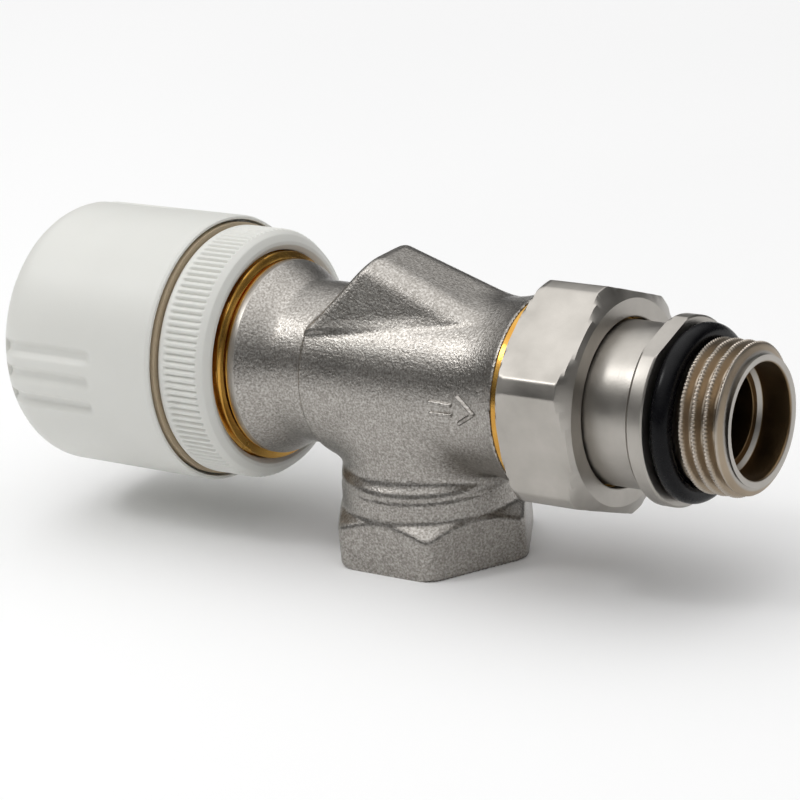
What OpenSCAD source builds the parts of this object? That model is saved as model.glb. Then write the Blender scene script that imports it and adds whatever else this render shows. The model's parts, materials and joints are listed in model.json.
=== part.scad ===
// Reverse-angle radiator valve with a handwheel head, a union nut and a sealing tailpiece.
// Sizes are in millimetres. The origin is the centre of the pipe port's mouth, +Z is up, and
// +X points to the radiator. Everything on the main axis is drawn along its own +Z, where
// a height is the X position, and on_axis() lays it down along +X.

/* [Body] */
// Height of the main axis above the mouth of the pipe port
axis_height = 25.5; // [25:0.1:27]
// Radius of the barrel where it meets the union thread
barrel_r = 13.9; // [13.7:0.1:14.2]
// Radius of the neck behind the head flange
neck_r = 11.6; // [11.2:0.1:11.9]
// Height of the raised peak above the main axis
peak_height = 17.6; // [17.5:0.1:18]
// Width across the flats of the hexagon on the pipe port
port_flats = 26; // [26:0.5:28]
// Radius of the turned corners of that hexagon
port_corner_r = 14.5; // [14.2:0.1:15]

/* [Threads] */
// Outer radius of the head thread, M30 x 1.5
head_thread_r = 15; // [15:15]
// Outer radius of the union thread, G 3/4
union_thread_r = 13.22; // [13.22:13.22]
// Outer radius of the radiator thread, G 1/2
pipe_thread_r = 10.4775; // [10.4775:10.4775]
// Radius of the crests inside the pipe port, Rp 1/2
port_thread_r = 9.315; // [9.315:9.315]
// Pitch of the head thread
fine_pitch = 1.5; // [1.5:1.5]
// Pitch of the pipe threads
pipe_pitch = 1.814; // [1.814:1.814]
// Radial gap between a nut and the thread it runs on
thread_gap = 0.12; // [0.1:0.01:0.2]

/* [Valve insert] */
// Travel of the stem from open to closed
stroke = 3.5; // [3:0.1:3.6]
// Radius of the stem pin
pin_r = 1.6; // [1.5:0.05:1.7]
// Radius of the spindle
spindle_r = 2.2; // [2:0.1:2.3]
// Running clearance round the pin and the spindle
running_gap = 0.05; // [0.03:0.01:0.1]
// Radius of the opening in the valve seat
seat_r = 5; // [4.5:0.1:5]
// Lead of the screw that moves the pusher
screw_pitch = 2; // [2:2]
// Coils in the return spring
spring_turns = 4.5; // [4:0.5:5]
// Radius of the spring wire
wire_r = 0.45; // [0.4:0.05:0.5]

/* [Head] */
// Outer radius of the handwheel
wheel_r = 19.4; // [19.2:0.1:19.8]
// Radius of the rounding round its end
wheel_round = 5; // [4.5:0.5:6]
// Groups of finger grooves round the handwheel
groove_groups = 3; // [2:1:4]
// Angle between two grooves of a group
groove_step = 11.7; // [11:0.1:12]
// Outer radius of the ring nut over its ribs
ring_r = 18.1; // [17.9:0.1:18.3]
// Ribs round the ring nut
rib_count = 112; // [90:2:140]

/* [Union] */
// Width across the flats of the union nut
nut_flats = 30; // [30:0.5:30.5]
// Radius of its turned corners
nut_corner_r = 16.7; // [16.5:0.1:16.9]
// Outer radius of the tailpiece where the nut turns on it
tail_r = 11.3; // [11.2:0.05:11.35]
// Radius of the tailpiece collar
collar_r = 12.95; // [12.8:0.05:13.2]
// Width across the two flats of that collar
collar_flats = 24.2; // [23.6:0.1:25]
// Radius of the wide bore at the radiator end
bore_r = 7.84; // [7.6:0.01:7.9]

/* [Hidden] */
$fn = 96;

// Positions along the main axis: head
wheel_end = -63.5;
wheel_rim = -33.9;
wheel_floor = wheel_end + 2.2;
collar_front = -46;
socket_front = -58;
snap_back = -51.6;
snap_front = -50.1;
guide_back = -54;
guide_step = -37.5;
ring_back = -33.3;
ring_front = -25;
ring_seat = ring_back + 1.85;
pusher_back = -46.3;
pusher_front = -43;
pin_tip = -39;

// Positions along the main axis: body and valve insert
head_face = -29.6;
flange_x = -24.1;
neck_x = -18;
barrel_x = -12.5;
seat_x = -5.2;
outlet_x = 20.7;
body_end = 27.5;
bonnet_back = -33.4;
bonnet_thread_end = -21.4;
bonnet_end = -12.6;
spring_front = -14.6;
gland_seat = -28.5;
washer_back = gland_seat - 1;
spindle_back = -26;
cup_x = -25.3;
clip_back = -23.6;
clip_front = -23;
holder_back = -11.6;
disc_back = -9.2;
disc_front = -8.72;
lip_x = seat_x + 0.7;
// Outer end of the gland nut, clear of the pusher when the valve is closed
gland_top = pin_tip + stroke + 0.3;

// Positions along the main axis: union
nut_front = 22.5;
nut_end = 33.8;
nut_shoulder = nut_end - 2;
tail_start = 29;
thrust_back = 30.6;
collar_x = 40.8;
collar_end = 43.7;
seal_x = 45.35;
tail_thread_x = 47;
tail_end = 54.4;

// Heights above the main axis on the pipe port
shoulder_top = -14.5;
shoulder_low = -18.9;
port_bottom = -axis_height;

// Half width of the peak at the main axis, and the angles its sides lean and draw in
peak_side = 12.5;
peak_lean = 24.2;
peak_draw = 6.3;
passage_width = 7.6;

// Radii of the body
flange_r = 13.95;
throat_r = 12.9;
head_bore_r = 10;
chamber_r = 8.6;
outlet_bore_r = 9.5;
well_r = 7.4;
pocket_r = 4.9;
pocket_x = 2;
bead_x = 11.5;
lip_r = seat_r + 1.3;

// Radii of the valve insert
bonnet_flats = 18;
spring_room_r = 6.2;
gland_room_r = 6.5;
gland_r = 6.4;
gland_flats = 11.6;
seal_room_r = 3.7;
seal_groove_r = 6.9;
stub_r = 1.5;
clip_groove_r = 1.7;
holder_r = 7.2;
holder_lip_r = 6.75;
disc_nut_flats = 5.6;
coil_r = 4.6;

// Radii of the head
guide_r = 12;
guide_barrel_r = 13.3;
guide_inner_r = 8.8;
guide_room_r = 11.2;
guide_flange_r = 14.85;
snap_groove_r = 11.1;
snap_r = 12.9;
bush_r = 8;
screw_r = 6;
ring_lip_r = 13.7;
rib_depth = 0.4;
key_width = 2.8;
groove_r = 1.55;
groove_start = 272;

// Radii of the union
nut_turn = 67.4;
collar_turn = 197;
thrust_groove_r = 10.2;
thrust_r = 12.9;
seal_seat_r = 9.15;
seal_r = 10.7;
seal_cord = 1.5;
tail_inner_r = 6.3;
bore_depth = 4.3;

face_gap = 0.05;
eps = 0.01;

// Depths of a metric and of a pipe thread
function fine_depth() = 0.6134 * fine_pitch;
function pipe_depth() = 0.6403 * pipe_pitch;

// Outline of ridges between two radii, as [radius, position] points from start to end
function ridges(root, crest, pitch, start, end) = [
  for (i = [0 : floor((end - start) / pitch) - 1])
    for (p = [[root, 0.06], [crest, 0.43], [crest, 0.57], [root, 0.94]])
      [p[0], start + (i + p[1]) * pitch]
];

module lay_down() rotate([0, 90, 0]) children();
module on_axis() translate([0, 0, axis_height]) lay_down() children();
module rod(r, start, end) translate([0, 0, start]) cylinder(h = end - start, r = r);
module cone(r1, r2, start, end) translate([0, 0, start]) cylinder(h = end - start, r1 = r1, r2 = r2);
module spin(points) rotate_extrude() polygon(points);
module sleeve(outer, inner, start, end) difference() {
  rod(outer, start, end);
  rod(inner, start - 1, end + 1);
}
module hexagon(flats, start, end)
  translate([0, 0, start]) cylinder(h = end - start, r = flats / sqrt(3), $fn = 6);
module o_ring(centre_r, wire, position)
  translate([0, 0, position]) rotate_extrude() translate([centre_r, 0]) circle(r = wire);

// Threaded rod: ridges up to crest on a core of the root radius
module threaded_rod(root, crest, pitch, start, end)
  spin(concat([[0, start], [root, start]], ridges(root, crest, pitch, start, end),
              [[root, end], [0, end]]));

// Cutter for a threaded hole: its walls leave ridges that reach in to the crest radius.
// The crest of the first ridge stands at the start, behind a small chamfer.
module threaded_hole(root, crest, pitch, start, end)
  spin(concat([[0, start - 1], [root, start - 1]],
              ridges(root, crest, pitch, start - 0.43 * pitch, end), [[crest, end], [0, end]]));

// ---------------------------------------------------------------- valve body
module barrel_outside() {
  // Head thread on its own core
  threaded_rod(head_thread_r - fine_depth(), head_thread_r, fine_pitch, head_face, flange_x);
  // Flange, flare, neck and barrel
  spin([[0, flange_x], [flange_r - 0.55, flange_x], [flange_r, flange_x + 0.5],
        [flange_r, flange_x + 1.6], [flange_r - 0.45, flange_x + 2.3],
        [12.7, flange_x + 3.2], [12.1, flange_x + 4.2],
        [neck_r + 0.15, flange_x + 5.3], [neck_r, neck_x], [neck_r, barrel_x - 0.6],
        [12.6, barrel_x], [12.6, 0], [12.4, 8], [12.1, 14], [12.5, 18], [13.3, 19.5],
        [barrel_r, outlet_x], [0, outlet_x]]);
  // Relief and union thread
  threaded_rod(union_thread_r - pipe_depth(), union_thread_r, pipe_pitch, outlet_x - eps, body_end);
}

module peak() difference() {
  // Side view: a steep rise on the head side and a long fall to the outlet
  rotate([90, 0, 0]) linear_extrude(height = 2 * neck_r, center = true)
    polygon([[-12.3, 0], [-12.3, 8.3], [-4.9, 16.65], [-4.1, peak_height - 0.1],
             [-3.6, peak_height], [-2.9, peak_height - 0.05], [-1.9, 17.3], [19.4, 9.45],
             [19.4, 0]]);
  // Each side leans inwards and draws in a little towards the outlet
  for (side = [0, 1]) mirror([0, side, 0])
    translate([0, peak_side, 0]) rotate([0, 0, -peak_draw]) rotate([peak_lean, 0, 0])
      translate([-40, 0, -40]) cube([80, 40, 80]);
}

module port_outside() {
  // Neck with a rolled bead above the shoulder of the hexagon
  spin([[0, port_bottom], [bead_x - 0.5, port_bottom], [throat_r, -17.2],
        [throat_r, shoulder_top], [12.5, -14.4], [12.75, -14], [12.7, -13.3], [12.2, -12.3],
        [11.6, -11], [bead_x, -9], [bead_x, 0], [0, 0]]);
  // Hexagon with turned corners, a conical shoulder and a chamfered mouth
  intersection() {
    hexagon(port_flats, port_bottom, shoulder_top);
    spin([[0, port_bottom], [port_corner_r - 0.5, port_bottom],
          [port_corner_r, port_bottom + 0.6], [port_corner_r, shoulder_low],
          [throat_r, shoulder_low + 1.8], [throat_r, shoulder_top], [0, shoulder_top]]);
  }
}

module flow_arrow() {
  // Raised outline arrow, pointing to the outlet
  middle = 0.5;
  stroke_width = 0.45;
  depth = 1.7;
  translate([0, depth - 12.7, 0]) rotate([90, 0, 0]) linear_extrude(height = depth) {
    for (side = [-0.8, 0.8]) translate([11.5, middle + side])
      square([3.6, stroke_width], center = true);
    for (side = [-1, 1]) translate([17.1, middle + side * 0.1]) rotate(side * 146)
      translate([0, -stroke_width / 2]) square([3.4, stroke_width]);
  }
}

// Water way: port, pocket under the seat, valve chamber, passage over the top, outlet
module water_way() {
  // Pipe port, with its thread at the mouth
  translate([0, 0, port_bottom])
    threaded_hole(port_thread_r + pipe_depth(), port_thread_r, pipe_pitch, 0.2, 12.9);
  rod(well_r, -13, -10.1);
  translate([pocket_x, 0, 0]) rod(pocket_r, -11, seat_r + 0.2);
  lay_down() {
    rod(head_bore_r, head_face - 1, -20.5);
    cone(head_bore_r, chamber_r, -20.51, -19.2);
    rod(chamber_r, -19.21, lip_x);
    rod(seat_r, seat_x - 1, 2);
    rod(outlet_bore_r, 10, body_end + 1);
  }
  // Passage through the peak
  rotate([90, 0, 0]) linear_extrude(height = passage_width, center = true)
    polygon([[-10.5, seat_r], [-10.5, 7.6], [-8.2, 8.4], [-3.6, 13.3], [-2.4, 14], [-0.8, 13.8],
             [10.9, 9.6], [14, 8], [14, seat_r], [10.5, seat_r], [10.5, well_r], [lip_x, well_r],
             [lip_x, seat_r]]);
}

module valve_body() color("silver") translate([0, 0, axis_height]) {
  difference() {
    union() {
      lay_down() barrel_outside();
      peak();
      port_outside();
      flow_arrow();
    }
    water_way();
  }
  // Raised lip that the disc closes on
  lay_down() sleeve(lip_r, seat_r, seat_x, lip_x + eps);
}

// ---------------------------------------------------------------- valve insert
module bonnet() color("goldenrod") on_axis() difference() {
  thread_r = head_bore_r - 0.1;
  barrel = chamber_r - 0.15;
  union() {
    hexagon(bonnet_flats, bonnet_back, head_face);
    threaded_rod(thread_r - 0.6, thread_r, 1, head_face - eps, bonnet_thread_end);
    rod(barrel, bonnet_thread_end - 0.1, bonnet_end);
  }
  // Spring room, open to the gland
  rod(spring_room_r, bonnet_back - 1, spring_front);
  rod(gland_room_r, bonnet_back - 1, gland_seat + 0.1);
  // Spindle guide
  rod(spindle_r + running_gap, spring_front - 1, bonnet_end + 1);
  // Groove for the seal against the body
  difference() {
    rod(chamber_r + 1, -18, -15.6);
    rod(seal_groove_r, -18.5, -15);
  }
}

module bonnet_o_ring() color("black") on_axis() {
  cord = 0.8;
  o_ring(seal_groove_r + cord + 0.02, cord, -16.8);
}

module gland_nut() color("goldenrod") on_axis() difference() {
  union() {
    rod(gland_r, gland_top + 0.8, gland_seat);
    hexagon(gland_flats, gland_top, bonnet_back - 0.1);
  }
  rod(pin_r + running_gap, gland_top - 1, gland_seat + 1);
  rod(seal_room_r, -31.6, gland_seat + 1);
}

module gland_o_ring() color("black") on_axis() {
  cord = 0.98;
  o_ring(pin_r + running_gap + cord, cord, -30.55);
}

module gland_washer() color("white") on_axis()
  sleeve(seal_room_r - face_gap, pin_r + running_gap, washer_back, gland_seat);

module stem_pin() color("lightsteelblue") on_axis() {
  chamfer = 0.4;
  spin([[0, pin_tip], [pin_r - chamfer, pin_tip], [pin_r, pin_tip + chamfer],
        [pin_r, spindle_back], [0, spindle_back]]);
}

module spindle() color("gold") on_axis() difference() {
  shoulder = -9.65;
  union() {
    rod(spindle_r + 0.4, spindle_back, cup_x);
    rod(spindle_r, cup_x - eps, shoulder);
    rod(stub_r, shoulder - eps, -6);
  }
  // Groove for the clip that holds the spring cup
  difference() {
    rod(spindle_r + 0.8, clip_back, clip_front);
    rod(clip_groove_r, clip_back - 1, clip_front + 1);
  }
}

module spring_cup() color("lightsteelblue") on_axis() {
  rim = cup_x + 0.7;
  sleeve(5.7, spindle_r + running_gap, cup_x, rim);
  sleeve(3.6, spindle_r + running_gap, rim - eps, clip_back);
}

module spindle_clip() color("dimgray") on_axis() difference() {
  slot = 2.8;
  sleeve(3.3, clip_groove_r + 0.02, clip_back + 0.02, clip_front - 0.02);
  translate([0, -slot / 2, clip_back - 1]) cube([5, slot, 2]);
}

// A helix of eight-sided rings of wire, closed at both ends
module return_spring() color("lightgray") on_axis() {
  sides = 8;
  steps = 20;
  first = cup_x + 0.75 + wire_r;
  last = spring_front - face_gap - wire_r;
  count = floor(spring_turns * steps);
  points = [
    for (i = [0 : count]) let (a = 360 * i / steps, x = first + (last - first) * i / count)
      for (s = [0 : sides - 1]) let (b = 360 * s / sides, r = coil_r + wire_r * cos(b))
        [r * cos(a), r * sin(a), x + wire_r * sin(b)]
  ];
  faces = concat(
    [[for (s = [0 : sides - 1]) s]],
    [[for (s = [0 : sides - 1]) count * sides + sides - 1 - s]],
    [for (i = [0 : count - 1]) for (s = [0 : sides - 1]) for (half = [0, 1])
      let (n = (s + 1) % sides, low = i * sides, high = low + sides)
        half == 0 ? [low + s, high + n, low + n] : [low + s, high + s, high + n]]);
  polyhedron(points, faces);
}

module disc_holder() color("goldenrod") on_axis() difference() {
  neck_end = -10.6;
  union() {
    rod(3.4, holder_back, neck_end);
    rod(holder_r, neck_end, disc_back);
    sleeve(holder_r, holder_lip_r, disc_back - eps, disc_back + 0.8);
  }
  rod(spindle_r + running_gap, holder_back - 1, -9.6);
  rod(stub_r + running_gap, -10, disc_back + 1);
}

module valve_disc() color("dimgray") on_axis()
  sleeve(holder_lip_r - face_gap, stub_r + running_gap, disc_back, disc_front);

module disc_nut() color("goldenrod") on_axis() difference() {
  hexagon(disc_nut_flats, disc_front + 0.02, -6.7);
  rod(stub_r + 0.02, disc_back, -6);
}

// ---------------------------------------------------------------- head
module guide_sleeve() color("tan") on_axis() difference() {
  open_end = head_face + 1;
  way = key_width + 0.4;
  union() {
    rod(guide_flange_r, ring_back + 2, head_face - 0.1);
    rod(guide_barrel_r, guide_step, head_face - 0.2);
    rod(guide_r, guide_back, guide_step + 0.5);
  }
  rod(guide_inner_r, guide_back - 1, open_end);
  rod(guide_room_r, -36.6, open_end);
  // Groove for the snap ring
  difference() {
    rod(guide_r + 1, snap_back, snap_front);
    rod(snap_groove_r, snap_back - 1, snap_front + 1);
  }
  // Two key ways that keep the pusher from turning
  for (side = [0, 180]) rotate(side)
    translate([7, -way / 2, pusher_back - 0.3]) cube([3.2, way, 20]);
}

module snap_ring() color("dimgray") on_axis() difference() {
  slot = 4;
  sleeve(snap_r, snap_groove_r + 0.1, snap_back + 0.1, snap_front - 0.1);
  translate([0, -slot / 2, snap_back - 1]) cube([16, slot, 4]);
}

module pusher() color("white") on_axis() {
  waist = 3.5;
  threaded_rod(screw_r - 1.1, screw_r - 0.2, screw_pitch, wheel_end + 2.9, pusher_back - 0.2);
  rod(guide_inner_r - 0.3, pusher_back, pusher_front);
  rod(4.4, pusher_back - 0.3, pusher_back + 0.1);
  for (side = [0, 180]) rotate(side) translate([8, -key_width / 2, pusher_back])
    cube([1.9, key_width, pusher_front - pusher_back]);
  spin([[0, pusher_front - 0.1], [4, pusher_front - 0.1], [waist, pusher_front + 1],
        [waist, pin_tip - 0.4], [waist - 0.3, pin_tip - face_gap], [0, pin_tip - face_gap]]);
}

// Half section of the handwheel's wall: end disc, rounding, skirt and thin lip
module wheel_outline() {
  room = wheel_r - 5.4;
  fillet = 3.3;
  far = 60;
  difference() {
    union() {
      translate([0, wheel_end]) square([wheel_r - wheel_round, wheel_round + 1]);
      translate([0, wheel_end + wheel_round])
        square([wheel_r, wheel_rim - wheel_end - wheel_round]);
      translate([wheel_r - wheel_round, wheel_end + wheel_round]) circle(r = wheel_round);
    }
    translate([0, wheel_floor]) square([room, far]);
    translate([0, wheel_floor + fillet - 0.1]) square([wheel_r - 2.1, far]);
    translate([room, wheel_floor + fillet]) circle(r = fillet);
    // Thin lip at the mouth
    translate([0, wheel_rim - 1.8]) square([wheel_r - 0.6, 5]);
    translate([-far, -80]) square([far, far]);
  }
}

module handwheel() color("white") on_axis() difference() {
  socket_r = 9.9;
  web = 1.5;
  groove_length = 20.5;
  union() {
    rotate_extrude() wheel_outline();
    // Collar that turns on the guide sleeve
    sleeve(14.6, guide_r + 0.2, wheel_floor - 0.2, collar_front);
    // Socket for the drive bush
    sleeve(socket_r, bush_r + 0.02, wheel_floor - 0.2, socket_front);
    // Webs between the collar and the skirt
    for (i = [0 : 5]) rotate(60 * i + 30) translate([14.3, -web / 2, wheel_floor - 0.2])
      cube([wheel_r - 16.2, web, 17]);
  }
  // Groove for the snap ring
  rod(snap_r + 0.1, snap_back, snap_front);
  // Groups of three finger grooves, open into the rounded end
  for (group = [0 : groove_groups - 1]) for (i = [-1 : 1])
    rotate(groove_start - 360 / groove_groups * group + groove_step * i)
      translate([wheel_r + 0.75, 0, wheel_end - 1]) {
        cylinder(h = groove_length, r = groove_r);
        translate([0, 0, groove_length]) sphere(r = groove_r);
      }
}

module drive_bush() color("ivory") on_axis()
  sleeve(bush_r, screw_r + 0.05, wheel_floor + face_gap, pusher_back - 0.4);

// Disc behind the ring nut that closes the handwheel's mouth, with a collar that the guide carries
module cover_disc() color("tan") on_axis() {
  back = wheel_rim - 1;
  bore = guide_barrel_r + 0.02;
  sleeve(wheel_r - 1, bore, back, ring_back - 0.3);
  sleeve(14.4, bore, back - 1.1, back + eps);
}

module ring_nut() color("white") on_axis() difference() {
  band_r = ring_r - 0.1;
  core_r = ring_r - 0.45;
  ribs_back = ring_back + 1.45;
  ribs_front = ring_front - 1.55;
  union() {
    // Smooth bands each side of the ribs, with a rounded front flank
    spin([[0, ring_back], [band_r - 0.4, ring_back], [band_r, ring_back + 0.5],
          [band_r, ribs_back - 0.1], [core_r, ribs_back + 0.05],
          [core_r, ribs_front - 0.05], [ring_r - 0.15, ribs_front + 0.1],
          [ring_r - 0.5, ring_front - 0.7], [17, ring_front], [0, ring_front]]);
    translate([0, 0, ribs_back]) linear_extrude(height = ribs_front - ribs_back)
      polygon([for (i = [0 : 2 * rib_count - 1])
        let (a = 180 * i / rib_count, r = ring_r - (i % 2) * rib_depth) [r * cos(a), r * sin(a)]]);
  }
  // Lip hole, then the thread
  rod(ring_lip_r, ring_back - 1, ring_front + 1);
  rod(head_thread_r + thread_gap, ring_seat, ring_front + 1);
  cone(head_thread_r, 15.7, ring_front - 0.5, ring_front + 0.1);
}

// ---------------------------------------------------------------- union
module union_nut() color("silver") on_axis() difference() {
  intersection() {
    rotate(nut_turn) hexagon(nut_flats, nut_front, nut_end);
    spin([[0, nut_front], [nut_corner_r - 1.1, nut_front], [nut_corner_r, nut_front + 0.8],
          [nut_corner_r, nut_end - 1.4], [14.2, nut_end], [0, nut_end]]);
  }
  rod(tail_r + 0.3, nut_front, nut_end + 1);
  rod(union_thread_r + thread_gap, nut_front - 1, nut_shoulder);
  cone(union_thread_r + 0.8, union_thread_r, nut_front - 0.1, nut_front + 0.8);
}

module union_gasket() color("darkgreen") on_axis()
  sleeve(12.4, outlet_bore_r, body_end + face_gap, tail_start - face_gap);

module thrust_ring() color("gold") on_axis() difference() {
  slot = 2.4;
  sleeve(thrust_r, thrust_groove_r + face_gap, thrust_back, nut_shoulder - face_gap);
  translate([0, -slot / 2, thrust_back - 1]) cube([16, slot, 4]);
}

module tailpiece() color("silver") on_axis() difference() {
  root = pipe_thread_r - pipe_depth();
  union() {
    rod(tail_r, tail_start, collar_x + eps);
    // Collar with two flats
    difference() {
      spin([[0, collar_x], [tail_r + 0.4, collar_x], [collar_r, collar_x + 0.5],
            [collar_r, collar_end - 0.3], [collar_r - 0.3, collar_end], [0, collar_end]]);
      for (side = [0, 180]) rotate(collar_turn + side)
        translate([collar_flats / 2, -collar_r, collar_x - 1]) cube([3, 2 * collar_r, 5]);
    }
    rod(seal_seat_r, collar_end - eps, tail_thread_x);
    spin(concat([[0, tail_thread_x], [root, tail_thread_x]],
                ridges(root, pipe_thread_r, pipe_pitch, tail_thread_x, tail_end),
                [[root - 0.2, tail_end], [0, tail_end]]));
  }
  rod(tail_inner_r, tail_start - 1, tail_end + 1);
  rod(bore_r, tail_end - bore_depth, tail_end + 1);
  cone(9, tail_inner_r, tail_start - eps, tail_start + 4);
  // Groove for the thrust ring
  difference() {
    rod(tail_r + 1, thrust_back - face_gap, nut_shoulder + face_gap);
    rod(thrust_groove_r, thrust_back - 1, nut_end);
  }
}

module tail_o_ring() color("black") on_axis() o_ring(seal_r, seal_cord, seal_x);

valve_body();
bonnet();
bonnet_o_ring();
gland_nut();
gland_o_ring();
gland_washer();
stem_pin();
spindle();
spring_cup();
spindle_clip();
return_spring();
disc_holder();
valve_disc();
disc_nut();
guide_sleeve();
snap_ring();
pusher();
handwheel();
drive_bush();
cover_disc();
ring_nut();
union_nut();
union_gasket();
thrust_ring();
tailpiece();
tail_o_ring();
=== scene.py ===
"""Looks of the radiator valve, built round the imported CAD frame.

Shapes are in millimetres in the code and turned into metres when a mesh is made. The main axis
runs along X at the height AXIS. An angle round it is measured from -Y towards +Z, in radians.
"""

import json
import math

import bmesh
import bpy
import numpy as np
import openvdb
from mathutils import Matrix, Vector


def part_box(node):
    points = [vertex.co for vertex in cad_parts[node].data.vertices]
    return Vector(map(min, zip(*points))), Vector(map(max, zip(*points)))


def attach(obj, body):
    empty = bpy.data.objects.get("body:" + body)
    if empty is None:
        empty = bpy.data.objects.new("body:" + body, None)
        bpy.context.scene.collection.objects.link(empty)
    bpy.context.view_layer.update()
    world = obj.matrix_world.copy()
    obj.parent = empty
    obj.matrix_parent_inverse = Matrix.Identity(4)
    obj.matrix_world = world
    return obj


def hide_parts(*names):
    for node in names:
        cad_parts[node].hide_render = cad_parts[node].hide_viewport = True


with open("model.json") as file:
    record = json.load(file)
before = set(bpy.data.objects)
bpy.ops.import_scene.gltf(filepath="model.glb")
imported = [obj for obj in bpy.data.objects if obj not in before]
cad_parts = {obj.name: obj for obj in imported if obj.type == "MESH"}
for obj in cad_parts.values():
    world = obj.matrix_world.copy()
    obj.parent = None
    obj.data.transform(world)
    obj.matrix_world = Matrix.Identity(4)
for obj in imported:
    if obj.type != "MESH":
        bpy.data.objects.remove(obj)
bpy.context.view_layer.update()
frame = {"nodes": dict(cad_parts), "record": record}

MM = 0.001
TAU = 2 * math.pi


def node_mm(node):
    """A CAD node's lowest and highest corner, in millimetres."""
    low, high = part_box(node)
    return [v / MM for v in low], [v / MM for v in high]


# ------------------------------------------------------------------ places read from the frame
WHEEL_LOW, WHEEL_HIGH = node_mm("handwheel")
RING_LOW, RING_HIGH = node_mm("ring_nut")
BODY_LOW, BODY_HIGH = node_mm("valve_body")
NUT_LOW, NUT_HIGH = node_mm("union_nut")
TAIL_LOW, TAIL_HIGH = node_mm("tailpiece")
O_LOW, O_HIGH = node_mm("tail_o_ring")

AXIS = (WHEEL_LOW[2] + WHEEL_HIGH[2]) / 2
WHEEL_R = (WHEEL_HIGH[1] - WHEEL_LOW[1]) / 2
WHEEL_END, WHEEL_RIM = WHEEL_LOW[0], WHEEL_HIGH[0]
RING_R = (RING_HIGH[1] - RING_LOW[1]) / 2
RING_BACK, RING_FRONT = RING_LOW[0], RING_HIGH[0]
HEAD_FACE, BODY_END = BODY_LOW[0], BODY_HIGH[0]
PEAK_TOP = BODY_HIGH[2] - AXIS
NUT_FRONT, NUT_END = NUT_LOW[0], NUT_HIGH[0]
TAIL_START, TAIL_END = TAIL_LOW[0], TAIL_HIGH[0]

# Sizes that the frame doesn't give directly
HEAD_THREAD_R, FINE_PITCH = 15.0, 1.5
UNION_THREAD_R, PIPE_THREAD_R, PIPE_PITCH = 13.22, 10.4775, 1.814
FINE_DEPTH, PIPE_DEPTH = 0.6134 * FINE_PITCH, 0.6403 * PIPE_PITCH
PORT_THREAD_R = 9.315
FLANGE_X, OUTLET_X = HEAD_FACE + 5.5, BODY_END - 6.8
NUT_FLATS, NUT_CORNER_R, NUT_TURN = 30.0, 16.7, math.radians(22.6)
COLLAR_X, COLLAR_END, COLLAR_R = TAIL_END - 13.6, TAIL_END - 10.7, 12.95
COLLAR_FLATS, COLLAR_TURN = 24.2, math.radians(73)
TAIL_R, TAIL_THREAD_X = 11.3, TAIL_END - 7.4
BORE_R, INNER_BORE_R = 7.84, 6.3
RIBS = 112
NOTCHES, NOTCH_DEPTH = 116, 0.14

# The pressed body, measured from the main axis and from the port's centre line
FLANGE_R, FLARE_START, NECK_X, NECK_R = 13.95, 1.5, FLANGE_X + 6.1, 11.6
BARREL_X, WAIST_R, OUTLET_FLARE_X = -12.6, 12.6, 12
# The peak's two roof faces: share of x, share of z, height where the face crosses x = 0
STEEP_FACE, GENTLE_FACE = (0.7483, 0.6634, 22.2), (0.3462, 0.9382, 16.6)
PEAK_X, PEAK_HALF, PEAK_DRAW, PEAK_LEAN = -12.4, 12.52, 0.11, 0.45
PEAK_FOOT, FOOT_SLOPE = 9.55, 0.118
PORT_FLAT_R, PORT_CORNER_R, SHOULDER_Z, COS_30 = 13.25, 15.0, -17.9, 0.866
# Height and radius of the rolled bead and of the port's neck above it
BEAD_PROFILE = [(-18.4, 13.0), (-14.8, 12.85), (-14.65, 12.68), (-13.9, 12.72), (-13.3, 12.5),
                (-12.7, 12.05), (-12.2, 11.75), (-11.4, 11.6), (-5.0, 11.5)]
# Bores and water ways
HEAD_BORE_R, CHAMBER_R, SEAT_R, OUTLET_R, WELL_R = 10.3, 8.6, 5, 9.5, 7.4
POCKET_R, PASSAGE_HALF, WALL, MOUTH_R, MOUTH_TOP = 4.9, 3.8, 3.4, 10.6, 13.3


# ------------------------------------------------------------------ mesh tools
def new_object(name, vertices, faces, smooth_angle=30.0):
    """A mesh object from points in millimetres about the main axis."""
    mesh = bpy.data.meshes.new(name)
    points = np.asarray(vertices, dtype=np.float64) * MM
    points[:, 2] += AXIS * MM
    mesh.from_pydata(points.tolist(), [], np.asarray(faces).tolist())
    work = bmesh.new()
    work.from_mesh(mesh)
    bmesh.ops.remove_doubles(work, verts=work.verts, dist=1e-6)
    bmesh.ops.dissolve_degenerate(work, dist=1e-7, edges=work.edges)
    bmesh.ops.recalc_face_normals(work, faces=work.faces)
    work.to_mesh(mesh)
    work.free()
    mesh.polygons.foreach_set("use_smooth", [True] * len(mesh.polygons))
    mesh.set_sharp_from_angle(angle=math.radians(smooth_angle))
    made = bpy.data.objects.new(name, mesh)
    bpy.context.scene.collection.objects.link(made)
    return made


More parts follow.
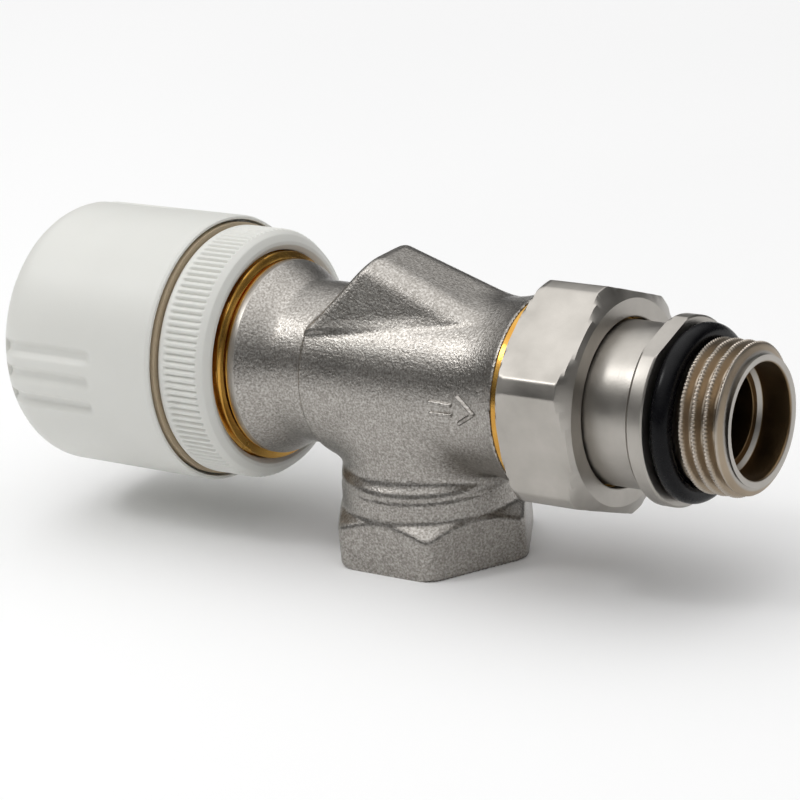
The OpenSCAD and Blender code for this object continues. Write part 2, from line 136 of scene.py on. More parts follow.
def rounded(corners, steps=5):
    """An outline of (x, r) points from corners (x, r, fillet), each fillet drawn as an arc."""
    points = []
    count = len(corners)
    for i, (x, r, fillet) in enumerate(corners):
        here = np.array([x, r])
        before = np.array(corners[i - 1][:2]) - here
        after = np.array(corners[(i + 1) % count][:2]) - here
        if fillet <= 0:
            points.append(here)
            continue
        a, b = np.linalg.norm(before), np.linalg.norm(after)
        before, after = before / a, after / b
        half = math.acos(max(-1.0, min(1.0, float(before @ after)))) / 2
        reach = min(fillet / math.tan(half), 0.48 * a, 0.48 * b)
        radius = reach * math.tan(half)
        centre = here + (before + after) / np.linalg.norm(before + after) * radius / math.sin(half)
        start, end = here + before * reach - centre, here + after * reach - centre
        turn = math.atan2(start[0] * end[1] - start[1] * end[0], float(start @ end))
        for k in range(steps + 1):
            c, s = math.cos(turn * k / steps), math.sin(turn * k / steps)
            spoke = np.array([start[0] * c - start[1] * s, start[0] * s + start[1] * c])
            points.append(centre + spoke)
    return np.array(points)


def spread(points, longest, fine=None):
    """The closed outline with its long stretches cut into steps no longer than longest.

    fine = (start, end, radius, longest) asks for other steps outside a radius between two places.
    """
    out = []
    for i in range(len(points)):
        a, b = points[i], points[(i + 1) % len(points)]
        step, middle = longest, (a + b) / 2
        if fine and fine[0] < middle[0] < fine[1] and middle[1] > fine[2]:
            step = fine[3]
        steps = max(1, int(math.ceil(np.linalg.norm(b - a) / step)))
        out += [a + (b - a) * k / steps for k in range(steps)]
    return np.array(out)


def turned(name, corners, sides=240, longest=2.0, shape=None, steps=5, smooth_angle=30.0, fine=None):
    """A turned piece from a closed outline. shape(angle, x, r) may move its points."""
    line = spread(rounded(corners, steps), longest, fine)
    angle = np.arange(sides) * TAU / sides
    a, x = np.meshgrid(angle, line[:, 0])
    r = np.repeat(line[:, 1][:, None], sides, axis=1)
    if shape:
        x, r = shape(a, x, r)
    points = np.stack([x, -r * np.cos(a), r * np.sin(a)], axis=-1).reshape(-1, 3)
    rows = len(line)
    i, j = np.meshgrid(np.arange(rows), np.arange(sides), indexing="ij")
    up, on = (i + 1) % rows, (j + 1) % sides
    faces = np.stack([i * sides + j, up * sides + j, up * sides + on, i * sides + on], axis=-1)
    return new_object(name, points, faces.reshape(-1, 4), smooth_angle)


def smooth_step(low, high, value):
    """Rises smoothly from 0 at low to 1 at high, with level ends."""
    t = np.clip((value - low) / (high - low), 0, 1)
    return t * t * (3 - 2 * t)


def soft_min(a, b, k):
    """The smaller of two fields, blended where they differ by less than k."""
    h = np.clip(0.5 + 0.5 * (b - a) / k, 0, 1)
    return b + (a - b) * h - k * h * (1 - h)


def soft_max(a, b, k):
    """The greater of two fields, blended where they differ by less than k."""
    return -soft_min(-a, -b, k)


def thread_cut(angle, x, pitch, depth):
    """How far a right-hand thread lies below its crest, with rounded crests and roots."""
    phase = np.abs(((x + pitch * angle / TAU) / pitch) % 1 - 0.5) * 2
    flank = np.clip((phase - 0.14) / 0.72, 0, 1)
    return depth * (0.65 * flank + 0.35 * (0.5 - 0.5 * np.cos(math.pi * flank)))


def hexagon_r(angle, flats, turn=0.0):
    """Radius of a hexagon's side at an angle, with a corner at turn."""
    sector = TAU / 6
    return flats / 2 / np.cos((angle - turn) % sector - sector / 2)


# ------------------------------------------------------------------ valve body
def neck_radius(x):
    """Outer radius of the head flange, the flare behind it and the neck."""
    lip = FLANGE_R - 0.9 * np.clip((FLANGE_X + 0.7 - x) / 0.7, 0, 1) ** 2
    along = np.clip((x - FLANGE_X - FLARE_START) / (NECK_X - FLANGE_X - FLARE_START), 0, 1)
    fall = smooth_step(FLANGE_X + FLARE_START, NECK_X, x) * 0.55 + 0.45 * along ** 0.55
    return lip - (FLANGE_R - NECK_R) * fall


def barrel_radius(x):
    """Outer radius of the barrel, waisted before the outlet."""
    waist = WAIST_R - 0.3 * smooth_step(0, OUTLET_FLARE_X, x)
    return waist + 1.6 * np.clip((x - OUTLET_FLARE_X) / (OUTLET_X - OUTLET_FLARE_X), 0, 1) ** 2.2


def casting_field(x, y, z):
    """Distance-like field of the pressed body, negative inside.

    A factor before a bracket scales a sloping face so that its field reads in millimetres.
    """
    r = np.sqrt(y * y + z * z)
    # Neck and barrel, the peak's two roof faces, and its two leaning sides
    steep = STEEP_FACE[1] * (z - STEEP_FACE[2]) - STEEP_FACE[0] * x
    barrel = soft_max((r - barrel_radius(x)) * 0.93, BARREL_X - x, 0.5)
    barrel = soft_min(soft_max(barrel, steep, 0.4), (r - neck_radius(x)) * 0.93, 0.5)
    gentle = GENTLE_FACE[0] * x + GENTLE_FACE[1] * (z - GENTLE_FACE[2])
    side = 0.907 * (np.sqrt(y * y + 0.3) + PEAK_DRAW * x + PEAK_LEAN * z - PEAK_HALF)
    peak = soft_max(soft_max(gentle, side, 2.4), steep, 1.0)
    foot = 0.993 * (PEAK_FOOT + FOOT_SLOPE * x - z)
    peak = soft_max(soft_max(peak, foot, 0.5), PEAK_X - x, 0.6)
    # Pipe port: neck, rolled bead, shoulder and hexagon
    rho = np.sqrt(x * x + y * y)
    bead = np.interp(z, *zip(*BEAD_PROFILE))
    neck = soft_max((rho - bead) * 0.9, z - 2, 0.5)
    flat = np.maximum(np.abs(y), np.abs(0.5 * y + COS_30 * x))
    flat = soft_max(flat, np.abs(0.5 * y - COS_30 * x), 0.3) - PORT_FLAT_R
    corner = rho - PORT_CORNER_R + 0.5 * np.clip((-AXIS + 0.9 - z) / 0.9, 0, 1) ** 2
    shoulder = 0.669 * (rho - PORT_FLAT_R) + 0.743 * (z - SHOULDER_Z)
    hexagon = soft_max(soft_max(flat, corner, 0.35), shoulder, 0.45)
    port = soft_min(neck, hexagon, 0.35)
    port = np.maximum(port, -AXIS - z)
    solid = soft_min(barrel, port, 0.3 + 3.1 * (1 - smooth_step(-7.5, -0.5, z)))
    solid = soft_min(solid, peak, 0.8)
    solid = np.maximum(solid, np.maximum(FLANGE_X - x, x - OUTLET_X))
    # Bores: head, chamber, seat, pocket, outlet, the passage over the seat with its rise and
    # drop, the pipe port's mouth and the well above it
    head = np.maximum(r - HEAD_BORE_R, x + 20.5)
    chamber = np.maximum(r - CHAMBER_R, x + 4.5)
    seat = np.maximum(r - SEAT_R, np.abs(x) - 6.0)
    pocket = np.maximum(np.sqrt((x - 2) ** 2 + y * y) - POCKET_R, np.abs(z + 3.4) - 8.6)
    outlet = np.maximum(r - OUTLET_R, 10 - x)
    across = np.abs(y) - PASSAGE_HALF
    roof = np.maximum(np.maximum(steep, gentle) + WALL, 7.4 - z)
    passage = np.maximum(np.maximum(roof, across), np.maximum(-10.5 - x, x - 17))
    rise = np.maximum(np.maximum(np.abs(x + 7.5) - 3.0, across), np.abs(z - 7) - 2.5)
    drop = np.maximum(np.maximum(np.abs(x - 13.5) - 3.0, across), np.abs(z - 7) - 2.5)
    mouth = np.maximum(rho - MOUTH_R - 0.55 * np.clip(-AXIS + 0.8 - z, 0, 1), z + AXIS - MOUTH_TOP)
    well = np.maximum(rho - WELL_R, np.abs(z + 12) - 2)
    for bore in (head, chamber, seat, pocket, outlet, passage, rise, drop, mouth, well):
        solid = np.maximum(solid, -bore)
    return solid


def make_casting(cell=0.3):
    """The pressed body as one smooth mesh drawn from its field."""
    low = np.array([FLANGE_X - 1, -15.5, -AXIS - 1])
    high = np.array([OUTLET_X + 1, 15.5, PEAK_TOP + 1])
    counts = np.ceil((high - low) / cell).astype(int) + 1
    x, y, z = (low[k] + cell * np.arange(counts[k], dtype=np.float32) for k in range(3))
    values = casting_field(x[:, None, None], y[None, :, None], z[None, None, :])
    grid = openvdb.FloatGrid(3.0)
    grid.copyFromArray(np.clip(values, -3, 3).astype(np.float32))
    points, quads = grid.convertToQuads(isovalue=0.0)
    points = low + points * cell
    for k, limit in ((0, FLANGE_X), (2, -AXIS)):
        points[:, k] = np.where(np.abs(points[:, k] - limit) < 0.4 * cell, limit, points[:, k])
    points[:, 2] = np.minimum(points[:, 2], PEAK_TOP)
    return new_object("body_casting", points, quads[:, ::-1], smooth_angle=48)


def arrow_height(x, z):
    """Height of the raised outline arrow on the barrel."""
    strokes = [((9.9, -0.3), (13.1, -0.2)), ((9.9, 1.3), (13.1, 1.2)),
               ((14.5, -1.2), (17.1, 0.5)), ((14.4, 2.4), (17.1, 0.5))]
    nearest = np.full(np.broadcast(x, z).shape, 9.0)
    for (ax, az), (bx, bz) in strokes:
        dx, dz = bx - ax, bz - az
        t = np.clip(((x - ax) * dx + (z - az) * dz) / (dx * dx + dz * dz), 0, 1)
        nearest = np.minimum(nearest, np.hypot(x - ax - t * dx, z - az - t * dz))
    return 0.62 * (1 - smooth_step(0.12, 0.52, nearest)) - 0.22


def make_arrow():
    """The arrow's strokes stand out of a thin slab that lies inside the barrel's wall."""
    xs, zs = np.arange(8.8, 18.4, 0.09), np.arange(-2.4, 3.6, 0.09)
    x, z = np.meshgrid(xs, zs, indexing="ij")
    layers = []
    for height in (arrow_height(x, z), np.full(x.shape, -0.8)):
        r = barrel_radius(x) + height
        layers.append(np.stack([x, -np.sqrt(r * r - z * z), z], axis=-1).reshape(-1, 3))
    nx, nz = x.shape
    i, j = np.meshgrid(np.arange(nx - 1), np.arange(nz - 1), indexing="ij")
    top = np.stack([i * nz + j, (i + 1) * nz + j, (i + 1) * nz + j + 1, i * nz + j + 1], axis=-1)
    top = top.reshape(-1, 4)
    rim = [k * nz for k in range(nx)] + [(nx - 1) * nz + k for k in range(1, nz)]
    rim += [k * nz + nz - 1 for k in range(nx - 2, -1, -1)] + list(range(nz - 2, 0, -1))
    base = nx * nz
    walls = [[a, b, b + base, a + base] for a, b in zip(rim, rim[1:] + rim[:1])]
    faces = top.tolist() + (top[:, ::-1] + base).tolist() + walls
    return new_object("flow_arrow", np.vstack(layers), faces, smooth_angle=60)


def threaded_shape(low, high, limit, pitch, depth, fade=0.9):
    """Cuts a thread into points outside the radius limit between low and high."""
    def shape(a, x, r):
        inside = smooth_step(low, low + fade, x) * (1 - smooth_step(high - fade, high, x))
        cut = thread_cut(a, x, pitch, depth) * inside
        return x, np.where(r > limit, r - cut, r)
    return shape


def make_head_thread():
    """The bare brass M30 x 1.5 thread between the head face and the flange."""
    corners = [(HEAD_FACE, 10.2, 0), (HEAD_FACE, 14.2, 0.1), (HEAD_FACE + 0.8, HEAD_THREAD_R, 0.1),
               (FLANGE_X - 0.35, HEAD_THREAD_R, 0.1), (FLANGE_X - 0.1, 14.2, 0.1),
               (FLANGE_X + 0.3, 13.6, 0), (FLANGE_X + 0.3, 10.2, 0)]
    shape = threaded_shape(HEAD_FACE - 1, FLANGE_X + 0.6, 14.0, FINE_PITCH, FINE_DEPTH, 0.3)
    return turned("head_thread", corners, sides=300, longest=0.09, shape=shape)


def make_flange_rim():
    """The smooth turned band round the head flange."""
    corners = [(FLANGE_X - 0.02, 12.0, 0), (FLANGE_X - 0.02, 13.6, 0.1), (FLANGE_X + 0.25, 13.97, 0.2),
               (FLANGE_X + 1.35, 13.97, 0.15), (FLANGE_X + 1.5, 13.7, 0), (FLANGE_X + 1.5, 12.0, 0)]
    return turned("flange_rim", corners, sides=240, longest=1.0)


def make_union_thread():
    """The outlet's rim and the brass thread that the union nut runs on."""
    start = OUTLET_X - 0.3
    corners = [(start, 9.5, 0), (start, 13.5, 0), (OUTLET_X + 0.02, 13.62, 0.05),
               (OUTLET_X + 1.1, 13.62, 0.15), (OUTLET_X + 1.6, UNION_THREAD_R, 0.1),
               (BODY_END - 0.9, UNION_THREAD_R, 0.1), (BODY_END, 12.3, 0.1), (BODY_END, 9.5, 0.2)]
    shape = threaded_shape(OUTLET_X + 1.9, BODY_END + 1, 12.0, PIPE_PITCH, PIPE_DEPTH, 0.7)
    return turned("union_thread", corners, sides=240, longest=0.11, shape=shape)


def make_port_thread():
    """The female thread of the pipe port, drawn on its side and stood upright."""
    depth, top = 0.45, 12.9
    corners = [(depth, 10.8, 0), (depth, PORT_THREAD_R + PIPE_DEPTH, 0.1),
               (depth + 1.0, PORT_THREAD_R, 0.1), (top, PORT_THREAD_R, 0.1), (top, 10.8, 0)]

    def shape(a, x, r):
        cut = (PIPE_DEPTH - thread_cut(a, x, PIPE_PITCH, PIPE_DEPTH)) * (1 - smooth_step(9.8, 11.8, x))
        return x, np.where(r < 10.6, np.maximum(r, PORT_THREAD_R + cut), r)
    piece = turned("port_thread", corners, sides=200, longest=0.12, shape=shape)
    points = np.empty(len(piece.data.vertices) * 3)
    piece.data.vertices.foreach_get("co", points)
    points = points.reshape(-1, 3)
    upright = np.stack([points[:, 2] - AXIS * MM, points[:, 1], points[:, 0]], axis=-1)
    piece.data.vertices.foreach_set("co", upright.ravel())
    piece.data.flip_normals()
    return piece


# ------------------------------------------------------------------ head
def make_handwheel():
    """The hollow cap, with three groups of three finger grooves."""
    inner = WHEEL_R - 2.1
    corners = [(WHEEL_END, 0.4, 0), (WHEEL_END, WHEEL_R - 0.1, 5.2), (WHEEL_RIM - 0.5, WHEEL_R, 0.4),
               (WHEEL_RIM, WHEEL_R - 0.2, 0.15), (WHEEL_RIM, WHEEL_R - 0.6, 0.1),
               (WHEEL_RIM - 1.8, WHEEL_R - 0.65, 0.1), (WHEEL_RIM - 1.85, inner, 0.1),
               (WHEEL_END + 2.2, inner - 0.1, 3.0), (WHEEL_END + 2.2, 0.4, 0)]

    def shape(a, x, r):
        depth = np.zeros_like(x)
        for group in range(3):
            for k in (-1, 0, 1):
                centre = math.radians(-2 + 120 * group + 11.7 * k)
                off = ((a - centre + math.pi) % TAU - math.pi) * WHEEL_R
                end = WHEEL_END + 18.6 + 0.4 * k
                past = np.clip(x - end + 1.5, 0, None)
                reach = np.hypot(off, past)
                depth = np.maximum(depth, 0.78 * (1 - smooth_step(0.25, 1.5, reach)))
        outer = r > inner + 0.9
        open_end = smooth_step(WHEEL_R - 5.2, WHEEL_R - 2.2, r)
        return x, np.where(outer, r - depth * open_end, r)
    return turned("handwheel_shell", corners, sides=720, longest=0.6, shape=shape, steps=9)


def make_ring():
    """The ring nut, with its fine ribs between two smooth bands."""
    corners = [(RING_BACK, 13.8, 0.15), (RING_BACK, RING_R - 0.35, 0.35),
               (RING_BACK + 0.55, RING_R - 0.02, 0.3),
               (RING_FRONT - 1.7, RING_R - 0.02, 0.5), (RING_FRONT - 0.55, RING_R - 0.75, 0.7),
               (RING_FRONT, RING_R - 1.7, 0.4), (RING_FRONT, 15.9, 0.2), (RING_FRONT - 0.55, 15.15, 0.1),
               (RING_BACK + 1.9, 15.15, 0.1), (RING_BACK + 1.9, 13.8, 0.1)]
    low, high = RING_BACK + 1.35, RING_FRONT - 1.55
    fine = (RING_BACK, RING_FRONT, 16.9, 0.25)

    def shape(a, x, r):
        band = smooth_step(low - 0.12, low + 0.18, x) * (1 - smooth_step(high - 0.18, high + 0.12, x))
        wave = np.abs((a * RIBS / TAU) % 1 - 0.5) * 2
        groove = 0.42 * smooth_step(0.35, 0.9, wave)
        return x, np.where(r > 16.9, r - band * groove, r)
    return turned("ring_nut_shell", corners, sides=RIBS * 8, longest=0.5, shape=shape,
                  smooth_angle=50, fine=fine)


# ------------------------------------------------------------------ union
def make_union_nut():
    """The hexagonal union nut with its turned bevels."""
    thread_end = NUT_END - 2.0
    corners = [(NUT_FRONT, 14.0, 0.1), (NUT_FRONT, 15.2, 0.15),
               (NUT_FRONT + 0.75, NUT_CORNER_R - 0.15, 0.5),
               (NUT_FRONT + 1.6, NUT_CORNER_R, 0.6), (NUT_END - 1.35, NUT_CORNER_R, 0.25),
               (NUT_END, 14.2, 0.18), (NUT_END, TAIL_R + 0.3, 0.3), (thread_end, TAIL_R + 0.3, 0.1),
               (thread_end, 13.34, 0.1), (NUT_FRONT + 0.7, 13.34, 0.1)]

    def shape(a, x, r):
        side = hexagon_r(a, NUT_FLATS, NUT_TURN)
        return x, np.where(r > 14.05, soft_min(r, side, 0.12), r)
    return turned("union_nut_shell", corners, sides=720, longest=1.0, shape=shape, smooth_angle=24)


def make_tailpiece():
    """The tailpiece: grooved sleeve, collar with two flats, seal groove and serrated thread."""
    root = PIPE_THREAD_R - PIPE_DEPTH
    corners = [(TAIL_START, 9.3, 0.2), (TAIL_START, TAIL_R, 0.2), (TAIL_START + 1.55, TAIL_R, 0.05),
               (TAIL_START + 1.58, 10.2, 0.05), (TAIL_START + 2.82, 10.2, 0.05),
               (TAIL_START + 2.85, TAIL_R, 0.05), (COLLAR_X + 0.05, TAIL_R, 0.25),
               (COLLAR_X + 0.3, COLLAR_R - 0.4, 0.25), (COLLAR_X + 0.8, COLLAR_R, 0.25),
               (COLLAR_END - 0.2, COLLAR_R, 0.12), (COLLAR_END, COLLAR_R - 0.25, 0.08),
               (COLLAR_END, 9.15, 0.1), (TAIL_THREAD_X - 0.6, 9.15, 0.1),
               (TAIL_THREAD_X + 0.6, PIPE_THREAD_R, 0.15), (TAIL_END - 1.0, PIPE_THREAD_R, 0.2),
               (TAIL_END - 0.05, root - 0.1, 0.15), (TAIL_END, root - 0.5, 0.12), (TAIL_END, BORE_R, 0.3),
               (TAIL_END - 4.3, BORE_R, 0.05), (TAIL_END - 4.85, BORE_R - 0.6, 0.05),
               (TAIL_END - 4.9, INNER_BORE_R, 0.15), (TAIL_START + 4, INNER_BORE_R, 0.2)]
    thread = threaded_shape(TAIL_THREAD_X - 0.3, TAIL_END + 0.7, root - 0.25,
                            PIPE_PITCH, PIPE_DEPTH, 0.8)

    def shape(a, x, r):
        in_collar = (x > COLLAR_X - 0.2) & (x < COLLAR_END + 0.1) & (r > TAIL_R + 0.2)
        flat = COLLAR_FLATS / 2 / np.maximum(np.abs(np.cos(a - COLLAR_TURN)), 0.5)
        r = np.where(in_collar, soft_min(r, flat, 0.06), r)
        x, r = thread(a, x, r)
        notch = NOTCH_DEPTH * smooth_step(0.2, 0.8, np.abs((a * NOTCHES / TAU) % 1 - 0.5) * 2)
        crest = smooth_step(PIPE_THREAD_R - 0.3, PIPE_THREAD_R - 0.1, r) * (x > TAIL_THREAD_X + 0.3)
        return x, r - notch * crest * (x < TAIL_END - 1.2) * (r < PIPE_THREAD_R + 0.01)
    fine = (TAIL_THREAD_X, TAIL_END, 9.6, 0.13)
    return turned("tailpiece_shell", corners, sides=NOTCHES * 6, longest=1.5, shape=shape,
                  smooth_angle=32, fine=fine)


def make_o_ring():
    """The seal: a round cord whose outline carries a faint moulding seam."""
    low, high = O_LOW[0], O_HIGH[0]
    centre_x, cord = (low + high) / 2, (high - low) / 2
    centre_r = (O_HIGH[1] - O_LOW[1]) / 2 - cord
    count = 40
    corners = [(centre_x - cord * math.cos(TAU * k / count),
                centre_r + cord * math.sin(TAU * k / count) * (1 - 0.02 * (k % 20 == 10)), 0)
               for k in range(count)]
    return turned("tail_seal", corners, sides=260, longest=1.0, smooth_angle=60)


# ------------------------------------------------------------------ materials
def new_material(name):
    """A node material; returns it with its tree and its shader."""
    made = bpy.data.materials.new(name)
    made.use_nodes = True
    tree = made.node_tree
    return made, tree, tree.nodes["Principled BSDF"]


def add(tree, kind, **values):
    """Adds a node and sets its inputs or its own properties by name."""
    node = tree.nodes.new(kind)
    for key, value in values.items():
        if key in node.inputs:
            node.inputs[key].default_value = value
        else:
            setattr(node, key, value)
    return node


def noise(tree, scale, detail=3.0, rough=0.5, stretch=(1, 1, 1)):
    """A noise of the object's own coordinates, in features a millimetre; returns its value socket."""
    place = add(tree, "ShaderNodeTexCoord")
    size = add(tree, "ShaderNodeMapping")
    size.inputs["Scale"].default_value = [s * 1000 for s in stretch]
    tree.links.new(place.outputs["Object"], size.inputs["Vector"])
    made = add(tree, "ShaderNodeTexNoise")
    made.inputs["Scale"].default_value = scale
    made.inputs["Detail"].default_value = detail
    made.inputs["Roughness"].default_value = rough
    tree.links.new(size.outputs["Vector"], made.inputs["Vector"])
    return made.outputs["Fac"]


def ramp(tree, source, stops):
    """A colour ramp over (position, colour) stops; returns its colour socket."""
    made = add(tree, "ShaderNodeValToRGB")
    while len(made.color_ramp.elements) < len(stops):
        made.color_ramp.elements.new(0.5)
    for element, (position, colour) in zip(made.color_ramp.elements, stops):
        element.position = position
        element.color = (*colour, 1)
    tree.links.new(source, made.inputs["Fac"])
    return made.outputs["Color"]


def span(tree, source, low, high, start=0.3, end=0.7):
    """Maps a noise value to a range of numbers."""
    made = add(tree, "ShaderNodeMapRange")
    made.inputs["From Min"].default_value = start
    made.inputs["From Max"].default_value = end
    made.inputs["To Min"].default_value = low
    made.inputs["To Max"].default_value = high
    tree.links.new(source, made.inputs["Value"])
    return made.outputs["Result"]


def bump(tree, layers):
    """Chained bumps from (height socket, strength, distance in mm); returns the normal socket."""
    normal = None
    for height, strength, distance in layers:
        made = add(tree, "ShaderNodeBump")
        made.inputs["Strength"].default_value = strength
        made.inputs["Distance"].default_value = distance * MM
        tree.links.new(height, made.inputs["Height"])
        if normal:
            tree.links.new(normal, made.inputs["Normal"])
        normal = made.outputs["Normal"]
    return normal


def cast_nickel():
    """Nickel plate over the rough grain of the pressed body."""
    made, tree, shader = new_material("cast_nickel")
    shader.inputs["Metallic"].default_value = 1.0
    grain, coarse, patch = noise(tree, 3.2, 3, 0.6), noise(tree, 1.1, 3), noise(tree, 0.12, 3)
    tone = ramp(tree, grain, [(0.3, (0.21, 0.195, 0.175)), (0.5, (0.345, 0.325, 0.30)),
                              (0.7, (0.53, 0.51, 0.48))])
    tree.links.new(tone, shader.inputs["Base Color"])
    tree.links.new(span(tree, patch, 0.27, 0.35), shader.inputs["Roughness"])
    normal = bump(tree, [(coarse, 0.4, 0.12), (grain, 0.75, 0.08)])
    tree.links.new(normal, shader.inputs["Normal"])
    return made


def turned_metal(name, low, high, rough, tints=None):
    """Turned metal with fine tool lines round the main axis.

    tints = [(radius in mm, colour)] multiplies its tone by its distance from that axis.
    """
    made, tree, shader = new_material(name)
    shader.inputs["Metallic"].default_value = 1.0
    lines = noise(tree, 6.0, 2, 0.5, (1, 0.03, 0.03))
    cloud, speck = noise(tree, 0.18, 4), noise(tree, 3.5, 3, 0.6)
    tone = ramp(tree, cloud, [(0.3, low), (0.7, high)])
    if tints:
        place = add(tree, "ShaderNodeTexCoord")
        shift = add(tree, "ShaderNodeVectorMath", operation="SUBTRACT")
        shift.inputs[1].default_value = (0, 0, AXIS * MM)
        tree.links.new(place.outputs["Object"], shift.inputs[0])
        flat = add(tree, "ShaderNodeVectorMath", operation="MULTIPLY")
        flat.inputs[1].default_value = (0, 1, 1)
        tree.links.new(shift.outputs["Vector"], flat.inputs[0])
        length = add(tree, "ShaderNodeVectorMath", operation="LENGTH")
        tree.links.new(flat.outputs["Vector"], length.inputs[0])
        reach = tints[-1][0]
        share = span(tree, length.outputs["Value"], 0.0, 1.0, 0.0, reach * MM)
        colour = ramp(tree, share, [(r / reach, tint) for r, tint in tints])
        mix = add(tree, "ShaderNodeMix", data_type="RGBA", blend_type="MULTIPLY")
        mix.inputs["Factor"].default_value = 1.0
        tree.links.new(tone, mix.inputs["A"])
        tree.links.new(colour, mix.inputs["B"])
        tone = mix.outputs["Result"]
    tree.links.new(tone, shader.inputs["Base Color"])
    tree.links.new(span(tree, cloud, rough[0], rough[1]), shader.inputs["Roughness"])
    normal = bump(tree, [(lines, 0.35, 0.02), (speck, 0.5, 0.02)])
    tree.links.new(normal, shader.inputs["Normal"])
    return made


def plastic(name, colour, rough, under=0.08):
    """Moulded plastic with a faint cloud and a fine skin; under is its subsurface share."""
    made, tree, shader = new_material(name)
    cloud, skin = noise(tree, 0.08, 3), noise(tree, 3.0, 3, 0.6)
    dark = tuple(c * 0.975 for c in colour)
    tree.links.new(ramp(tree, cloud, [(0.35, dark), (0.65, colour)]), shader.inputs["Base Color"])
    tree.links.new(span(tree, skin, rough - 0.04, rough + 0.05), shader.inputs["Roughness"])
    shader.inputs["Subsurface Weight"].default_value = under
    shader.inputs["Subsurface Radius"].default_value = (1.0, 0.9, 0.8)
    shader.inputs["Subsurface Scale"].default_value = 1.2 * MM
    tree.links.new(bump(tree, [(skin, 0.1, 0.02)]), shader.inputs["Normal"])
    return made


def rubber():
    """The black rubber of the seals."""
    made, tree, shader = new_material("black_rubber")
    dust, skin = noise(tree, 0.5, 4), noise(tree, 2.5, 3)
    tree.links.new(ramp(tree, dust, [(0.4, (0.002, 0.002, 0.003)), (0.75, (0.006, 0.006, 0.007))]),
                   shader.inputs["Base Color"])
    tree.links.new(span(tree, skin, 0.2, 0.3), shader.inputs["Roughness"])
    shader.inputs["Specular IOR Level"].default_value = 0.14
    tree.links.new(bump(tree, [(skin, 0.1, 0.02)]), shader.inputs["Normal"])
    return made


def fibre():
    """The pressed fibre of the union gasket."""
    made, tree, shader = new_material("gasket_fibre")
    strands = noise(tree, 1.5, 5, 0.7, (3, 1, 1))
    tree.links.new(ramp(tree, strands, [(0.3, (0.07, 0.15, 0.12)), (0.7, (0.17, 0.29, 0.23))]),
                   shader.inputs["Base Color"])
    shader.inputs["Roughness"].default_value = 0.8
    tree.links.new(bump(tree, [(strands, 0.5, 0.05)]), shader.inputs["Normal"])
    return made


# Inside the tailpiece's bore the tint is the bore's brass colour, darkened further as painted shade. The
# inner bore, most of the step face and the counterbore wall turn dark brown, while the thin ring at the
# step's edge and the end face stay plain.
PLAIN, BORE_BRASS_SHADE, THREAD_ROOT_TINT = (1, 1, 1), (0.46, 0.33, 0.19), (0.84, 0.72, 0.58)
TAIL_TINTS = [(0, BORE_BRASS_SHADE), (BORE_R - 0.65, BORE_BRASS_SHADE), (BORE_R - 0.55, PLAIN),
              (BORE_R - 0.1, PLAIN), (BORE_R - 0.03, BORE_BRASS_SHADE), (BORE_R + 0.05, BORE_BRASS_SHADE),
              # On the tailpiece's thread the tint turns browner from the roots up the flanks, between 9.4
              # and 10.1 mm, and a little lighter than the plain nickel at the crests, near 10.45 mm.
              (BORE_R + 0.3, PLAIN), (9.1, PLAIN), (9.4, THREAD_ROOT_TINT), (10.1, THREAD_ROOT_TINT),
              (10.45, (1.1, 1.05, 1.0)), (11.0, PLAIN)]
MATERIALS = {
    "cast_nickel": cast_nickel(),
    "turned_nickel": turned_metal("turned_nickel", (0.37, 0.35, 0.32), (0.48, 0.455, 0.42),
                                  (0.30, 0.42), TAIL_TINTS),
    "raw_brass": turned_metal("raw_brass", (0.50, 0.25, 0.05), (0.72, 0.42, 0.10), (0.16, 0.28)),
    "stainless": turned_metal("stainless", (0.5, 0.5, 0.5), (0.64, 0.64, 0.63), (0.22, 0.32)),
    "white_plastic": plastic("white_plastic", (0.76, 0.76, 0.72), 0.42),
    "beige_plastic": plastic("beige_plastic", (0.52, 0.42, 0.29), 0.5),
    "black_rubber": rubber(),
    "gasket_fibre": fibre(),
}


def dress(piece, slot, body, *nodes):
    """Gives a new piece its material, its body and the CAD nodes it stands for."""
    piece.data.materials.clear()
    piece.data.materials.append(MATERIALS[slot])
    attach(piece, body)
    if nodes:
        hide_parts(*nodes)


# ------------------------------------------------------------------ pieces
for part in frame["record"]["subparts"]:
    carried = frame["nodes"][part["node"]]
    for slot in carried.material_slots:
        slot.material = MATERIALS[part["material_slot"]]

dress(make_casting(), "cast_nickel", "valve", "valve_body")
dress(make_arrow(), "cast_nickel", "valve")
dress(make_head_thread(), "raw_brass", "valve")
dress(make_flange_rim(), "turned_nickel", "valve")
dress(make_union_thread(), "raw_brass", "valve")
dress(make_port_thread(), "raw_brass", "valve")
dress(make_handwheel(), "white_plastic", "wheel", "handwheel")
dress(make_ring(), "white_plastic", "ring", "ring_nut")
dress(make_union_nut(), "turned_nickel", "nut", "union_nut")
dress(make_tailpiece(), "turned_nickel", "tail", "tailpiece")
dress(make_o_ring(), "black_rubber", "tail", "tail_o_ring")


# ------------------------------------------------------------------ stage, light and camera
def make_floor():
    """The pale floor, kept out of the exported part."""
    mesh = bpy.data.meshes.new("floor")
    work = bmesh.new()
    bmesh.ops.create_grid(work, x_segments=8, y_segments=8, size=3.0)
    work.to_mesh(mesh)
    work.free()
    floor = bpy.data.objects.new("floor", mesh)
    bpy.context.scene.collection.objects.link(floor)
    made, tree, shader = new_material("pale_floor")
    tone = ramp(tree, noise(tree, 0.003, 2), [(0.4, (0.93,) * 3), (0.6, (0.95,) * 3)])
    tree.links.new(tone, shader.inputs["Base Color"])
    shader.inputs["Roughness"].default_value = 0.9
    mesh.materials.append(made)


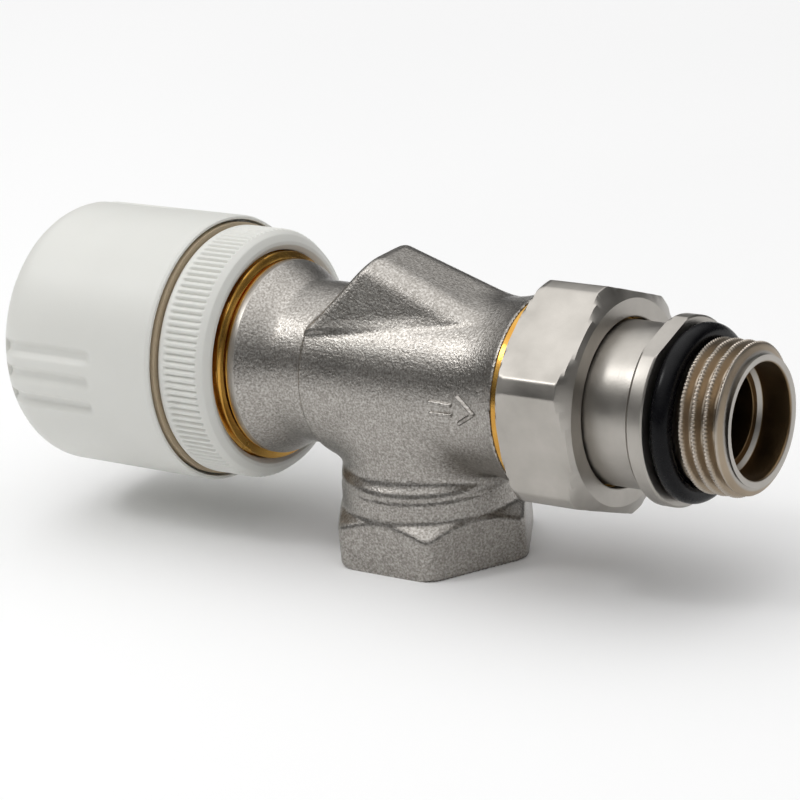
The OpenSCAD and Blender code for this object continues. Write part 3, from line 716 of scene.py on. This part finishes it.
def area_light(name, place, aim, size, power, colour=(1, 1, 1)):
    """A rectangular lamp at place that shines towards aim, in metres."""
    data = bpy.data.lights.new(name, "AREA")
    data.shape, data.size, data.size_y = "RECTANGLE", size[0], size[1]
    data.energy, data.color = power, colour
    light = bpy.data.objects.new(name, data)
    light.location = Vector(place)
    light.rotation_euler = (Vector(aim) - light.location).to_track_quat("-Z", "Y").to_euler()
    bpy.context.scene.collection.objects.link(light)


def make_camera(azimuth, elevation, roll, distance, aim, lens):
    """A camera that looks at the main axis above the port, moved sideways and up by aim (mm)."""
    az, el, tilt = (math.radians(v) for v in (azimuth, elevation, roll))
    back = Vector((math.sin(az) * math.cos(el), -math.cos(az) * math.cos(el), math.sin(el)))
    right = Vector((math.cos(az), math.sin(az), 0))
    up = back.cross(right)
    side = right * math.cos(tilt) + up * math.sin(tilt)
    top = up * math.cos(tilt) - right * math.sin(tilt)
    place = Vector((0, 0, AXIS)) + side * aim[0] + top * aim[1] + back * distance
    data = bpy.data.cameras.new("camera")
    data.sensor_width, data.lens = 36.0, lens
    data.clip_start, data.clip_end = 0.01, 20
    camera = bpy.data.objects.new("camera", data)
    camera.matrix_world = Matrix((side, top, back)).transposed().to_4x4()
    camera.matrix_world.translation = place * MM
    bpy.context.scene.collection.objects.link(camera)
    bpy.context.scene.camera = camera


def make_sky(stops, lean):
    """A studio sky: dark at the horizon, bright overhead, brighter by lean towards -X."""
    world = bpy.data.worlds.new("studio")
    world.use_nodes = True
    tree = world.node_tree
    place = add(tree, "ShaderNodeTexCoord")
    parts = add(tree, "ShaderNodeSeparateXYZ")
    tree.links.new(place.outputs["Generated"], parts.inputs["Vector"])
    top = stops[-1][1]
    shade = ramp(tree, parts.outputs["Z"], [(z, (v / top,) * 3) for z, v in stops])
    side = span(tree, parts.outputs["X"], 1 + lean, 1 - lean, -1.0, 1.0)
    power = add(tree, "ShaderNodeMath", operation="MULTIPLY")
    tree.links.new(side, power.inputs[0])
    power.inputs[1].default_value = top
    back = tree.nodes["Background"]
    tree.links.new(shade, back.inputs["Color"])
    tree.links.new(power.outputs["Value"], back.inputs["Strength"])
    bpy.context.scene.world = world


make_floor()
make_camera(azimuth=37.0, elevation=19.2, roll=-5.68, distance=480.0, aim=(-3.15, -3.625), lens=154.2)
area_light("key", place=(-0.30, -0.22, 0.42), aim=(0, 0, 0.02), size=(0.10, 0.10), power=0.4)
# Height above the horizon and brightness
SKY = [(0.0, 0.07), (0.32, 0.08), (0.52, 0.40), (0.68, 1.00), (0.86, 1.45), (1.0, 1.8)]
make_sky(SKY, lean=0.15)
bpy.context.scene.view_settings.view_transform = "Standard"
